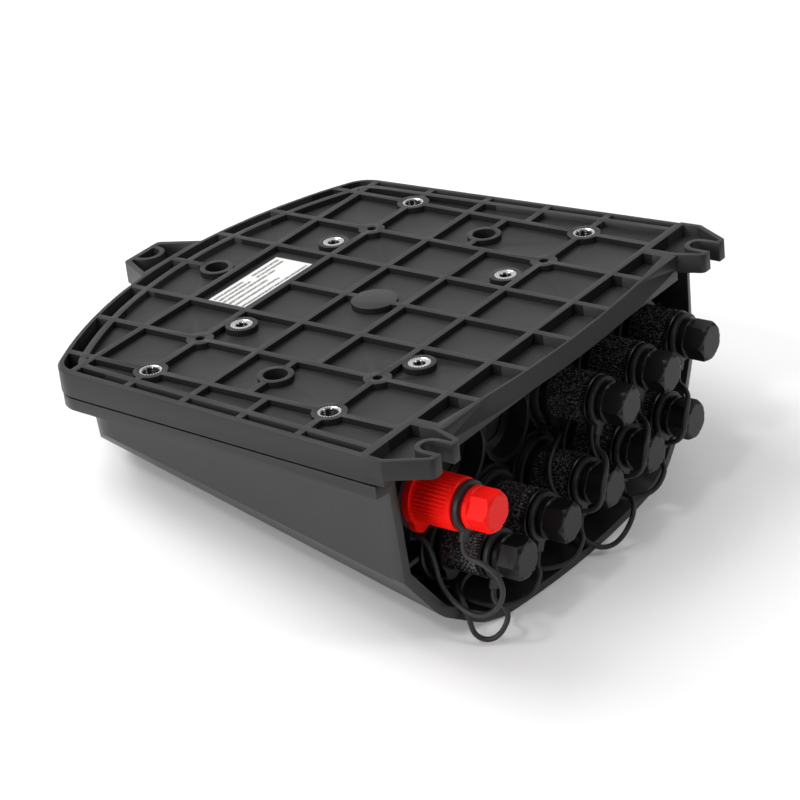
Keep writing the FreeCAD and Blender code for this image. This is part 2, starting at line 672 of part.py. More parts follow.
def tether_strap(number, y, z):
    """Round strap along straight runs joined by tangent arcs. Its solid is the sweep of the section."""
    points = strap_points(number, y, z)
    radii = []
    edges = []
    last = points[0]
    for before, here, after in zip(points[:-2], points[1:-1], points[2:]):
        a, b = before - here, after - here
        half_turn = (math.pi - a.getAngle(b)) / 2
        reach = BEND_SHARE * min(a.Length, b.Length)
        radii.append(reach / math.tan(half_turn))
        a.normalize()
        b.normalize()
        enter, leave = here + a * reach, here + b * reach
        inward = (a + b).normalize()
        centre = here + inward * (radii[-1] / math.cos(half_turn))
        edges.append(Part.LineSegment(last, enter).toShape())
        edges.append(Part.Arc(enter, centre - inward * radii[-1], leave).toShape())
        last = leave
    edges.append(Part.LineSegment(last, points[-1]).toShape())
    path = Part.Wire(edges)
    first = (points[1] - points[0]).normalize()
    ring = Part.Wire([Part.Circle(points[0], first, STRAP_D / 2).toShape()])
    sweep = path.makePipeShell([ring], True, False)
    area = math.pi * STRAP_D ** 2 / 4
    print("strap", number, "length %.1f" % path.Length, "tightest %.1f" % min(radii),
          "volume share %.3f" % (sweep.Volume / area / path.Length))
    return sweep


def splice_tray():
    """Open tray with two hubs for the coiled fibre, screwed to four posts of the cover."""
    x0, x1, half = TRAY
    z0, z1 = TRAY_Z, TRAY_Z + TRAY_H
    shell = box(x0, x1, -half, half, z0, z1)
    room = box(x0 + TRAY_WALL, x1 - TRAY_WALL, -half + TRAY_WALL, half - TRAY_WALL, z0 + TRAY_WALL, z1 + 1)
    body = shell.cut(room)
    middle = (x0 + x1) / 2
    for y in (-half + HUB_R + HUB_EDGE, half - HUB_R - HUB_EDGE):
        hub = rod(middle, y, HUB_R, z0, z1).cut(rod(middle, y, HUB_R - TRAY_WALL, z0 + TRAY_WALL, z1 + 1))
        body = body.fuse(hub)
    return body.cut([rod(x, y, TRAY_SCREW_R + 0.2, z0 - 1, z0 + TRAY_WALL + 1) for x, y in legs()])


def legs():
    x0, x1, half = TRAY
    return [(x, side * (half - 8)) for x in (x0 + 8, x1 - 8) for side in (-1, 1)]


def tray_screw(x, y):
    seat = TRAY_Z + TRAY_WALL
    head = rod(x, y, TRAY_HEAD_R, seat, seat + TRAY_HEAD_H)
    return head.fuse(rod(x, y, TRAY_SCREW_R - 0.4, seat - TRAY_SCREW_LONG, seat))


def splitter():
    """Sealed splitter block, lying in the tray between the hubs."""
    x0, x1, _ = TRAY
    long, wide, high = SPLITTER
    middle = (x0 + x1) / 2
    z0 = TRAY_Z + TRAY_WALL
    return box(middle - long / 2, middle + long / 2, -wide / 2, wide / 2, z0, z0 + high)


def label():
    x0, y0, wide, long = LABEL
    return box(x0, x0 + wide, y0, y0 + long, -POCKET, -POCKET + LABEL_THICK)


def save(name, shape):
    solids = shape.Solids
    shape = solids[0] if len(solids) == 1 else Part.makeCompound(solids)
    shape.exportStep("parts/%s.step" % name)
    print(name, len(solids), "volume %.0f" % shape.Volume, "valid", shape.isValid())


def main():
    os.makedirs("parts", exist_ok=True)
    save("back_plate", back_plate())
    save("front_cover", front_cover())
    save("cover_gasket", gasket_ring(0.1))
    save("label", label())
    save("wall_inserts", Part.makeCompound(
        [insert(x, y, INSERT_R, INSERT_BORE_R, INSERT_LONG) for x, y in insert_places()]))
    save("frame_inserts", Part.makeCompound(
        [insert(x, y, FRAME_INSERT_R, FRAME_BORE_R, FRAME_LONG) for x, y in frame_insert_places()]))
    save("cover_screws", Part.makeCompound([cover_screw(x, y) for x, y in WELLS]))
    save("splice_tray", splice_tray())
    save("tray_screws", Part.makeCompound([tray_screw(x, y) for x, y in legs()]))
    save("splitter", splitter())
    ports = fitted_ports()
    save("lock_nuts", Part.makeCompound([lock_nut(y, z) for y, z in ports]))
    save("tether_bases", Part.makeCompound([tether_base(y, z) for y, z in ports]))
    for number, (y, z) in enumerate(ports, 1):
        save("adapter_%d" % number, adapter(y, z))
        save("port_seal_%d" % number, port_seal(y, z))
        save("dust_plug_%d" % number, dust_plug(y, z))
        save("tether_ring_%d" % number, tether_ring(y, z))
        save("tether_strap_%d" % number, tether_strap(number, y, z))


main()
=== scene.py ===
import bpy
import bmesh
import math
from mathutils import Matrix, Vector

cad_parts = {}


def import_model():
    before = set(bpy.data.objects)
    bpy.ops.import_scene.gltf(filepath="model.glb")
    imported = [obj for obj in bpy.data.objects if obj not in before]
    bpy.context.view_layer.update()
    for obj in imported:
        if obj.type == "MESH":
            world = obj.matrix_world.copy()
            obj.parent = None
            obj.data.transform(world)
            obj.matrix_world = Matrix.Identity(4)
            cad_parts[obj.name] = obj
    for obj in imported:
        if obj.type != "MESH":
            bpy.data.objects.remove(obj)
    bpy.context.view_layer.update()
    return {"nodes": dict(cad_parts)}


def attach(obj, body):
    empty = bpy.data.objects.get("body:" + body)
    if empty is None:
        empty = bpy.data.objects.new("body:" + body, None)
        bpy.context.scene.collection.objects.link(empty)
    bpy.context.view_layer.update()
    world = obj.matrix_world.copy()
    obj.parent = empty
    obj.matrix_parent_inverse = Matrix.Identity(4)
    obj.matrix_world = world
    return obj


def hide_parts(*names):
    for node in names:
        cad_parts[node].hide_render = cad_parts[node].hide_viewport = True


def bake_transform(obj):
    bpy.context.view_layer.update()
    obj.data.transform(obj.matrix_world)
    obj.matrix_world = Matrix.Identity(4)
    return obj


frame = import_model()

# Places and sizes that part.py also has, in metres
PORT_PITCH = 0.0290
UPPER_Z = -0.0310
LOWER_Z = -0.0573
RING_X = 0.0879
RING = 0.0018
BASE_FRONT_X = 0.0682
TAIL_R = 0.0128
STRAP_R = 0.0149
STRAP_STUB = 0.0047
STRAP_END_RUN = 0.0050
TAIL_TURN = math.radians(25)
STRAP_D = 0.0020
SLEEVE_R = 0.0093
SLEEVE_FRONT_X = 0.0709
SLEEVE_BACK_X = 0.0836
HEX_END_X = 0.101
COVER_TOP_Z = -0.0102
WALL_INSERTS = [(x, y) for x in (-0.0405, 0.0405) for y in (-0.0825, 0.0825)]
FRAME_INSERTS = [(-0.03375, -0.0378), (0.04725, -0.0378), (0.03375, 0.0378), (-0.04725, 0.0378)]

# Ports as (steps from the middle, 1 in the lower row)
PORTS = [(-2.5, 0), (-2, 1), (2.5, 0), (1.5, 0), (0.5, 0), (2, 1), (1, 1), (0, 1), (-1, 1)]
PORT_PLACES = [(step * PORT_PITCH, LOWER_Z if row else UPPER_Z) for step, row in PORTS]
PORT_NUMBERS = range(1, len(PORTS) + 1)
RED_PORT = 1

# Routes of the straps from each port's axis: along X, towards the near side, down
UPPER_ROUTE = ((0.0950, 0.0110, 0.0155), (0.1005, 0.0180, 0.0155), (0.1025, 0.0245, 0.0200),
               (0.1020, 0.0260, 0.0275), (0.0960, 0.0262, 0.0320), (0.0880, 0.0262, 0.0315),
               (0.0810, 0.0260, 0.0270), (0.0775, 0.0228, 0.0190), (0.0760, 0.0145, 0.0140))
LOWER_ROUTE = ((0.0960, 0.0095, 0.0155), (0.0985, 0.0155, 0.0205), (0.0960, 0.0215, 0.0275),
               (0.0920, 0.0270, 0.0288), (0.0870, 0.0315, 0.0245), (0.0800, 0.0280, 0.0195),
               (0.0765, 0.0175, 0.0160))
FIRST_ROUTE = ((0.0970, 0.0065, 0.0175), (0.1028, 0.0052, 0.0225), (0.1030, 0.0044, 0.0305),
               (0.0980, 0.0042, 0.0380), (0.0900, 0.0043, 0.0420), (0.0815, 0.0047, 0.0384),
               (0.0765, 0.0054, 0.0315), (0.0760, 0.0063, 0.0215))
SECOND_ROUTE = ((0.0958, 0.0065, 0.0180), (0.0945, 0.0090, 0.0250), (0.0900, 0.0115, 0.0295),
                (0.0852, 0.0145, 0.0270), (0.0840, 0.0152, 0.0195), (0.0815, 0.0144, 0.0128),
                (0.0760, 0.0105, 0.0122))

# The lower row's route moved further into the shroud, for straps that are out of sight there
TUCKED_ROUTE = ((0.0920, 0.0095, 0.0185), (0.0920, 0.0175, 0.0235), (0.0868, 0.0255, 0.0242),
                (0.0795, 0.0322, 0.0218), (0.0715, 0.0335, 0.0190), (0.0696, 0.0240, 0.0155),
                (0.0768, 0.0125, 0.0148))
OWN_ROUTES = {1: FIRST_ROUTE, 2: SECOND_ROUTE, 6: TUCKED_ROUTE, 8: TUCKED_ROUTE, 9: TUCKED_ROUTE}


# Materials

MIX_AMOUNT = 0
MIX_FIRST_COLOUR = 6
MIX_SECOND_COLOUR = 7
MIX_COLOUR_RESULT = 2
PAINTED_SHADE_BLACK = (0, 0, 0)


class Field:
    """A value or colour that varies over a surface, with plain arithmetic."""

    def __init__(self, finish, socket):
        self.finish = finish
        self.socket = socket

    def _math(self, operation, other):
        node = self.finish.tree.nodes.new("ShaderNodeMath")
        node.operation = operation
        for place, value in enumerate((self, other)):
            if isinstance(value, Field):
                self.finish.tree.links.new(value.socket, node.inputs[place])
            else:
                node.inputs[place].default_value = value
        return Field(self.finish, node.outputs[0])

    def __add__(self, other):
        return self._math("ADD", other)

    def __sub__(self, other):
        return self._math("SUBTRACT", other)

    def __mul__(self, other):
        return self._math("MULTIPLY", other)

    def __gt__(self, other):
        return self._math("GREATER_THAN", other)

    def __lt__(self, other):
        return self._math("LESS_THAN", other)

    def between(self, low, high):
        """One where the value lies between two limits, and zero elsewhere."""
        return (self > low) * (self < high)

    def clamp(self):
        """The same value, kept between zero and one."""
        same = self + 0.0
        same.socket.node.use_clamp = True
        return same


class Finish:
    """One material: constant sockets are set on the shader, varying ones are linked."""

    def __init__(self, name, colour, roughness, **sockets):
        self.material = bpy.data.materials.new(name)
        self.material.use_nodes = True
        self.tree = self.material.node_tree
        self.shader = self.tree.nodes["Principled BSDF"]
        self.set("Base Color", (*colour, 1.0))
        self.set("Roughness", roughness)
        for socket, value in sockets.items():
            self.set(socket.replace("_", " "), value)

    def set(self, socket, value):
        if isinstance(value, Field):
            self.tree.links.new(value.socket, self.shader.inputs[socket])
        else:
            self.shader.inputs[socket].default_value = value

    def node(self, kind, output=0, inputs=(), **settings):
        """Any other shader node: settings are its properties, inputs its values or fields."""
        node = self.tree.nodes.new(kind)
        for key, value in settings.items():
            setattr(node, key, value)
        for key, value in dict(inputs).items():
            if isinstance(value, Field):
                self.tree.links.new(value.socket, node.inputs[key])
            else:
                node.inputs[key].default_value = value
        return Field(self, node.outputs[output])

    def place(self):
        return self.node("ShaderNodeTexCoord", "Object")

    def axes(self, vector=None):
        """The three parts of a vector, which is the place on the object unless given."""
        split = self.node("ShaderNodeSeparateXYZ", 0, {0: vector or self.place()})
        outputs = split.socket.node.outputs
        return [Field(self, outputs[k]) for k in range(3)]

    def noise(self, scale, detail=3.0):
        return self.node("ShaderNodeTexNoise", 0, {"Vector": self.place(), "Scale": scale, "Detail": detail})

    def grain(self, scale):
        return self.node("ShaderNodeTexVoronoi", 0, {"Vector": self.place(), "Scale": scale})

    def blend_colours(self, amount, first, second):
        """From the first colour to the second, where each is three numbers or a field."""
        inputs = {MIX_AMOUNT: amount}
        for place, colour in ((MIX_FIRST_COLOUR, first), (MIX_SECOND_COLOUR, second)):
            inputs[place] = colour if isinstance(colour, Field) else (*colour, 1)
        return self.node("ShaderNodeMix", MIX_COLOUR_RESULT, inputs, data_type="RGBA")

    def vary_roughness(self, field, lowest, spread):
        self.set("Roughness", field * spread + lowest)

    def bump(self, height, distance):
        self.set("Normal", self.node("ShaderNodeBump", 0, {"Height": height, "Distance": distance}))


# How far a pocket wall's normal may tip up or down, and where the pockets lie, for the shade painted on the
# pocket walls
WALL_TILT = 0.4
POCKETS_X = (-0.084, 0.076)
POCKETS_Y = (-0.092, 0.092)


def painted_pocket_shade(finish):
    """One on the upright walls inside the plate's rim, where shade is painted into the colour, as these
    walls lie in each other's shade.
    """
    x, y, _ = finish.axes()
    _, _, up = finish.axes(finish.node("ShaderNodeNewGeometry", "Normal"))
    return up.between(-WALL_TILT, WALL_TILT) * y.between(*POCKETS_Y) * x.between(*POCKETS_X)


SHELL_GRAIN = 0.0011
FITTING_GRAIN = 0.0008
GRAIN_DEPTH = 0.00004
DRIFT_SCALE = 28.0
DRIFT_SHARE = 0.7
GLOSS_DRIFT = 0.14
WALL_SHADE = 0.95
WALL_ROUGHNESS = 0.4


def moulded_plastic(name, dark, light, roughness, shine, grain_size, walls=0.0):
    """Satin moulding with a fine eroded grain and a slight drift of tone and gloss.

    Walls is how far the pocket walls are painted darker as shade, up to 1 for black.
    """
    finish = Finish(name, dark, roughness, Specular_IOR_Level=shine)
    drift = finish.noise(DRIFT_SCALE, detail=4.0)
    speckle = finish.noise(1.0 / grain_size, detail=2.0)
    tone = (drift * DRIFT_SHARE + speckle * (1 - DRIFT_SHARE)).clamp()
    toned = finish.blend_colours(tone, dark, light)
    satin = drift * GLOSS_DRIFT + (roughness - GLOSS_DRIFT / 2)
    if walls:
        # Painted shade: the base colour is blended towards black on the pocket walls, which are also made
        # rougher
        shade = painted_pocket_shade(finish)
        toned = finish.blend_colours(shade * walls, toned, PAINTED_SHADE_BLACK)
        satin = satin + shade * WALL_ROUGHNESS
    finish.set("Base Color", toned)
    finish.set("Roughness", satin)
    finish.bump(speckle, GRAIN_DEPTH)
    return finish.material


def knurled_plastic(name, dark, light, roughness):
    """Black sleeve with a coarse grain, and glints painted into its colour as light grey flecks."""
    painted_glint_from = 0.30
    painted_glint = 0.85
    roughness_spread = 0.3
    finish = Finish(name, dark, roughness, Specular_IOR_Level=0.6)
    coarse = finish.grain(scale=1300.0)
    chips = finish.noise(scale=1700.0)
    # Painted glints: flecks of the lighter colour where the grain is high, standing for highlights
    painted_glints = (coarse * chips > painted_glint_from) * painted_glint
    finish.set("Base Color", finish.blend_colours(painted_glints, dark, light))
    finish.vary_roughness(chips, roughness - roughness_spread / 2, roughness_spread)
    finish.bump(coarse, distance=0.0003)
    return finish.material


def gloss_red(name):
    """Strong red moulding with a soft sheen."""
    finish = Finish(name, (0.90, 0.007, 0.005), roughness=0.36,
                    Specular_IOR_Level=0.10, Coat_Weight=0.04, Coat_Roughness=0.2)
    drift = finish.noise(scale=60.0)
    deep_red = (0.95, 0.006, 0.005)
    light_red = (1.0, 0.014, 0.008)
    finish.set("Base Color", finish.blend_colours(drift, deep_red, light_red))
    finish.vary_roughness(drift, lowest=0.30, spread=0.12)
    finish.bump(finish.noise(scale=900.0, detail=2.0), distance=0.00004)
    return finish.material


def soft_rubber(name, dark, light):
    """Matt rubber with a fine mottle."""
    finish = Finish(name, dark, roughness=0.55, Specular_IOR_Level=0.4)
    mottle = finish.noise(scale=220.0, detail=4.0)
    finish.set("Base Color", finish.blend_colours(mottle, dark, light))
    finish.vary_roughness(mottle, lowest=0.42, spread=0.2)
    finish.bump(finish.noise(scale=1500.0, detail=2.0), distance=0.00005)
    return finish.material


def nickel_plating(name):
    """Bright plating on the inserts, with shade painted in darker down the threaded bores."""
    finish = Finish(name, (0.74, 0.74, 0.72), roughness=0.2, Metallic=1.0)
    darkest_depth = 0.000625
    _, _, z = finish.axes()
    brushed = finish.noise(scale=400.0, detail=4.0)
    # Painted shade: the base colour goes to near black with depth down the bores
    painted_bore_shade = (z * (-1 / darkest_depth)).clamp()
    plated = finish.blend_colours(brushed, (0.62, 0.62, 0.60), (0.92, 0.92, 0.90))
    finish.set("Base Color", finish.blend_colours(painted_bore_shade, plated, (0.035, 0.035, 0.036)))
    finish.vary_roughness(brushed, lowest=0.1, spread=0.2)
    finish.bump(finish.noise(scale=1200.0, detail=2.0), distance=0.00003)
    return finish.material


def zinc_steel(name):
    """Dull grey plating on the screws."""
    finish = Finish(name, (0.34, 0.34, 0.35), roughness=0.38, Metallic=1.0)
    mottle = finish.noise(scale=500.0, detail=4.0)
    finish.vary_roughness(mottle, lowest=0.28, spread=0.25)
    finish.bump(mottle, distance=0.00004)
    return finish.material


def pale_plastic(name, dark, light):
    """Plain light moulding of the pieces inside."""
    finish = Finish(name, dark, roughness=0.45)
    drift = finish.noise(scale=40.0)
    finish.set("Base Color", finish.blend_colours(drift, dark, light))
    finish.bump(finish.noise(scale=1100.0, detail=2.0), distance=0.00004)
    return finish.material


LABEL_CORNER = (-0.0626, -0.0232)
LABEL_SIZE = (0.0189, 0.0437)

# Bars as shares of the label: middle across it, start and stop along it
LABEL_BARS = ((0.12, 0.04, 0.45), (0.12, 0.58, 0.96), (0.25, 0.04, 0.48), (0.25, 0.57, 0.95),
              (0.38, 0.03, 0.76), (0.53, 0.03, 0.57), (0.69, 0.03, 0.65), (0.86, 0.03, 0.96))
BAR_HALF = 0.034
LABEL_WHITE = (0.72, 0.72, 0.71)
BAR_GREY = (0.06, 0.06, 0.065)
BAR_INK = 0.9
BAR_BREAKS = 0.40


def label_film(name):
    """White film with six rows of plain grey bars, finely broken up."""
    finish = Finish(name, LABEL_WHITE, roughness=0.35)
    x, y, _ = finish.axes()
    across = (x - LABEL_CORNER[0]) * (1 / LABEL_SIZE[0])
    along = (y - LABEL_CORNER[1]) * (1 / LABEL_SIZE[1])
    bars = None
    for middle, start, stop in LABEL_BARS:
        bar = across.between(middle - BAR_HALF, middle + BAR_HALF) * along.between(start, stop)
        bars = bar if bars is None else bars + bar
    broken = bars * (finish.noise(scale=2600.0, detail=1.0) > BAR_BREAKS)
    finish.set("Base Color", finish.blend_colours(broken * BAR_INK, LABEL_WHITE, BAR_GREY))
    finish.vary_roughness(finish.noise(scale=300.0), lowest=0.3, spread=0.1)
    return finish.material


# The case's pocket walls get painted shade, blended towards black
case_plastic = moulded_plastic("case_plastic", (0.0150, 0.0152, 0.0156), (0.0205, 0.0207, 0.0213),
                               roughness=0.42, shine=0.26, grain_size=SHELL_GRAIN, walls=WALL_SHADE)
cover_plastic = moulded_plastic("cover_plastic", (0.0035, 0.0037, 0.0040), (0.0058, 0.0060, 0.0065),
                                roughness=0.38, shine=0.50, grain_size=SHELL_GRAIN)
fitting_plastic = moulded_plastic("fitting_plastic", (0.0035, 0.0035, 0.0038), (0.006, 0.006, 0.0065),
                                  roughness=0.34, shine=0.24, grain_size=FITTING_GRAIN)
# The sleeves' lighter colour is the colour of the painted glints
sleeve_plastic = knurled_plastic("sleeve_plastic", (0.004, 0.004, 0.004), (0.16, 0.16, 0.165),
                                 roughness=0.30)
red_plastic = gloss_red("red_plastic")
tether_rubber = soft_rubber("tether_rubber", (0.011, 0.0115, 0.0125), (0.022, 0.0225, 0.024))
seal_rubber = soft_rubber("seal_rubber", (0.006, 0.006, 0.006), (0.011, 0.011, 0.012))
nickel = nickel_plating("nickel_plating")
screw_steel = zinc_steel("screw_steel")
tray_plastic = pale_plastic("tray_plastic", (0.66, 0.66, 0.63), (0.74, 0.74, 0.70))
splitter_plastic = pale_plastic("splitter_plastic", (0.42, 0.45, 0.50), (0.52, 0.55, 0.60))
bare_label = label_film("bare_label")

NODE_MATERIALS = {
    "back_plate": case_plastic,
    "front_cover": cover_plastic,
    "cover_gasket": seal_rubber,
    "label": bare_label,
    "wall_inserts": nickel,
    "frame_inserts": nickel,
    "cover_screws": screw_steel,
    "tray_screws": screw_steel,
    "splice_tray": tray_plastic,
    "splitter": splitter_plastic,
    "lock_nuts": fitting_plastic,
    "tether_bases": tether_rubber,
}


def coat(piece, material):
    piece.data.materials.clear()
    piece.data.materials.append(material)


def coat_node(name, material):
    piece = frame["nodes"][name]
    if not piece.material_slots:
        piece.data.materials.append(material)
    for place in piece.material_slots:
        place.link = "OBJECT"
        place.material = material


def port_plastic(number):
    return red_plastic if number == RED_PORT else fitting_plastic


for node_name, node_material in NODE_MATERIALS.items():
    coat_node(node_name, node_material)
for number in PORT_NUMBERS:
    coat_node("adapter_%d" % number, port_plastic(number))
    coat_node("dust_plug_%d" % number, port_plastic(number))
    coat_node("port_seal_%d" % number, seal_rubber)
    coat_node("tether_ring_%d" % number, tether_rubber)


# Modelling helpers

MERGE_WITHIN = 0.000002
FLAT_WITHIN = math.radians(1.5)
EDGE_ANGLE = math.radians(32)
EDGE_SEGMENTS = 2


def nothing_selected():
    if bpy.context.object and bpy.context.object.mode != "OBJECT":
        bpy.ops.object.mode_set(mode="OBJECT")
    bpy.ops.object.select_all(action="DESELECT")


def make_current(piece):
    nothing_selected()
    piece.select_set(True)
    bpy.context.view_layer.objects.active = piece


def settle(piece):
    """Puts the piece's place and turn into its mesh."""
    make_current(piece)
    bpy.ops.object.transform_apply(location=True, rotation=True, scale=True)


def shape_by(piece, change):
    """Passes the piece's mesh through a function that changes it, and keeps the result."""
    mesh = bmesh.new()
    mesh.from_mesh(piece.data)
    change(mesh)
    mesh.to_mesh(piece.data)
    mesh.free()


def join_flat_faces(mesh):
    """Merges doubled points, and the triangles of each nearly flat face."""
    bmesh.ops.remove_doubles(mesh, verts=mesh.verts, dist=MERGE_WITHIN)
    bmesh.ops.dissolve_limit(mesh, angle_limit=FLAT_WITHIN, verts=mesh.verts, edges=mesh.edges)


def copy_of_node(node, name):
    """A copy of a CAD node's mesh, ready to have its edges rounded."""
    piece = bpy.data.objects.new(name, frame["nodes"][node].data.copy())
    bpy.context.scene.collection.objects.link(piece)
    shape_by(piece, join_flat_faces)
    return piece


def bevel_edges(piece, width, segments, angle):
    """Rounds the edges of the current piece that are sharper than an angle."""
    bevel = piece.modifiers.new("edge", "BEVEL")
    bevel.width = width
    bevel.segments = segments
    bevel.limit_method = "ANGLE"
    bevel.angle_limit = angle
    bpy.ops.object.modifier_apply(modifier="edge")


def softened(node, name, material, width, body, change=None, crisp=False):
    """Stands for a CAD node: the same form with its sharp edges rounded."""
    piece = copy_of_node(node, name)
    if change:
        shape_by(piece, change)
    coat(piece, material)
    make_current(piece)
    bevel_edges(piece, width, EDGE_SEGMENTS, EDGE_ANGLE)
    bpy.ops.object.shade_smooth_by_angle(angle=EDGE_ANGLE)
    if crisp:
        flat_faces = piece.modifiers.new("flat_faces", "WEIGHTED_NORMAL")
        flat_faces.keep_sharp = True
        bpy.ops.object.modifier_apply(modifier="flat_faces")
    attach(piece, body)
    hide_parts(node)


# Camera and straps

CAMERA_LENS_MM = 130.24
CAMERA_SENSOR_MM = 36.0
CAMERA_PLACE = (0.616422, -0.769377, 0.442685)
CAMERA_TURN_DEGREES = (63.6218, 5.9131, 35.4764)

# How sharp an edge of the straps may be and still be shaded smooth
STRAP_SMOOTH = math.radians(50)


def studio_camera():
    data = bpy.data.cameras.new("camera")
    camera = bpy.data.objects.new("camera", data)
    bpy.context.scene.collection.objects.link(camera)
    data.lens = CAMERA_LENS_MM
    data.sensor_width = CAMERA_SENSOR_MM
    data.clip_end = 20.0
    camera.location = CAMERA_PLACE
    camera.rotation_euler = [math.radians(turn) for turn in CAMERA_TURN_DEGREES]
    bpy.context.scene.camera = camera


def strap_route(number):
    """The points of a strap, from the tail of the plug's ring to the tail of the ring on the sleeve."""
    y, z = PORT_PLACES[number - 1]
    row_route = LOWER_ROUTE if z == LOWER_Z else UPPER_ROUTE
    route = OWN_ROUTES.get(number, row_route)

    def on_tail(x, r):
        return (x, y - r * math.sin(TAIL_TURN), z - r * math.cos(TAIL_TURN))

    ring_x = RING_X + RING / 2
    start = [on_tail(ring_x, TAIL_R), on_tail(ring_x, TAIL_R + STRAP_STUB)]
    end = [on_tail(BASE_FRONT_X + STRAP_END_RUN, STRAP_R), on_tail(BASE_FRONT_X, STRAP_R)]
    return start + [(x, y - near, z - down) for x, near, down in route] + end


def tether_strap(number):
    """The strap of one plug: a round band that bends between the box and the plug's ring."""
    points = strap_route(number)
    curve = bpy.data.curves.new("strap_line_%d" % number, "CURVE")
    curve.dimensions = "3D"
    curve.resolution_u = 8
    spline = curve.splines.new("NURBS")
    spline.points.add(len(points) - 1)
    for point, place in zip(spline.points, points):
        point.co = (*place, 1.0)
    spline.order_u = 3
    spline.use_endpoint_u = True
    holder = bpy.data.objects.new("strap_line_%d" % number, curve)
    bpy.context.scene.collection.objects.link(holder)
    bpy.context.view_layer.update()
    line = bpy.data.meshes.new_from_object(holder)
    curve.bevel_depth = STRAP_D / 2
    curve.bevel_resolution = 3
    curve.use_fill_caps = True
    bpy.context.view_layer.update()
    tube = bpy.data.meshes.new_from_object(holder)
    bpy.data.objects.remove(holder)
    strap = bpy.data.objects.new("tether_band_%d" % number, tube)
    bpy.context.scene.collection.objects.link(strap)
    coat(strap, tether_rubber)
    make_current(strap)
    bpy.ops.object.shade_smooth_by_angle(angle=STRAP_SMOOTH)
    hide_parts("tether_strap_%d" % number)
    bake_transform(strap)


studio_camera()
for number in PORT_NUMBERS:
    tether_strap(number)


# Teeth and flutes: a row of steps round an edge, of which every third and fourth stands out

STEPS_EACH = 4
CUT_STEPS = (0, 1)
END_FACE = 0.9


def is_cut(first, second, steps):
    """Whether a point at these two distances from the axis is on a step that is cut in."""
    step = round(math.atan2(second, first) / (2 * math.pi / steps))
    return step % STEPS_EACH in CUT_STEPS


# Threaded inserts with knurled edges, whose bores are measured at the roots of the thread

INSERT_R = 0.0043
WALL_BORE_R = 0.0031
FRAME_BORE_R = 0.0021
WALL_INSERT_LONG = 0.008
FRAME_INSERT_LONG = 0.007
INSERT_STEPS = 96
TOOTH_RING = 0.0005
TOOTH_DEPTH = 0.00038
RING_STEP_WIDE = 0.0002
RING_STEP_DEEP = 0.00015
BORE_CHAMFER = 0.0004
THREAD_TURNS = 6
THREAD_PITCH = 0.0009
THREAD_NARROWING = 0.9
EDGE_FROM = 0.99
INSERT_SMOOTH = math.radians(24)


def knurled_insert(name, x, y, radius, bore, depth):
    """Metal insert: toothed edge, flat ring face, chamfered bore with thread turns."""
    nothing_selected()
    bpy.ops.mesh.primitive_cylinder_add(vertices=INSERT_STEPS, radius=radius, depth=depth,
                                        location=(x, y, -depth / 2))
    piece = bpy.context.object
    piece.name = name
    settle(piece)
    bpy.ops.object.mode_set(mode="EDIT")
    bpy.ops.mesh.select_all(action="DESELECT")
    mesh = bmesh.from_edit_mesh(piece.data)
    for face in mesh.faces:
        face.select_set(face.normal.z > END_FACE)
    bmesh.update_edit_mesh(piece.data)
    bpy.ops.mesh.inset(thickness=TOOTH_RING, depth=0.0)
    bpy.ops.mesh.inset(thickness=RING_STEP_WIDE, depth=-RING_STEP_DEEP)
    bpy.ops.mesh.inset(thickness=radius - TOOTH_RING - RING_STEP_WIDE - bore - BORE_CHAMFER, depth=0.0)
    bpy.ops.mesh.inset(thickness=BORE_CHAMFER, depth=-BORE_CHAMFER)
    for _ in range(THREAD_TURNS):
        for factor in (THREAD_NARROWING, 1 / THREAD_NARROWING):
            bpy.ops.mesh.extrude_region_move(TRANSFORM_OT_translate={"value": (0, 0, -THREAD_PITCH / 2)})
            bpy.ops.transform.resize(value=(factor, factor, 1), center_override=(x, y, 0))
    mesh = bmesh.from_edit_mesh(piece.data)
    for vertex in mesh.verts:
        flat = Vector((vertex.co.x - x, vertex.co.y - y, 0))
        on_edge = flat.length > radius * EDGE_FROM and vertex.co.z > -depth / 2
        if on_edge and is_cut(flat.x, flat.y, INSERT_STEPS):
            vertex.co -= flat.normalized() * TOOTH_DEPTH
    bmesh.update_edit_mesh(piece.data)
    bpy.ops.object.mode_set(mode="OBJECT")
    bpy.ops.object.shade_smooth_by_angle(angle=INSERT_SMOOTH)
    coat(piece, nickel)
    return piece


def insert_set(name, node, places, radius, bore, depth):
    """The inserts of one CAD node, joined as one piece."""
    pieces = [knurled_insert("%s_%d" % (name, k), x, y, radius, bore, depth)
              for k, (x, y) in enumerate(places)]
    nothing_selected()
    for piece in pieces:
        piece.select_set(True)
    bpy.context.view_layer.objects.active = pieces[0]
    bpy.ops.object.join()
    whole = bpy.context.object
    whole.name = name
    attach(whole, "box")
    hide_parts(node)


insert_set("knurled_wall_inserts", "wall_inserts", WALL_INSERTS, INSERT_R, WALL_BORE_R, WALL_INSERT_LONG)
insert_set("knurled_frame_inserts", "frame_inserts", FRAME_INSERTS, INSERT_R, FRAME_BORE_R,
           FRAME_INSERT_LONG)


# Fluted sleeves on the adapters

FLUTES = 56
FLUTE_DEPTH = 0.00035
RED_FLUTES = 40
RED_FLUTE_DEPTH = 0.00045
FLUTES_PAST_SLEEVE = 0.0024
FLUTE_CUT_SHARE = 0.95
FLUTE_END_RING = 0.0007
FLUTE_BEVEL = 0.00012
FLUTE_BEVEL_ANGLE = math.radians(40)
FLUTE_SMOOTH = math.radians(30)


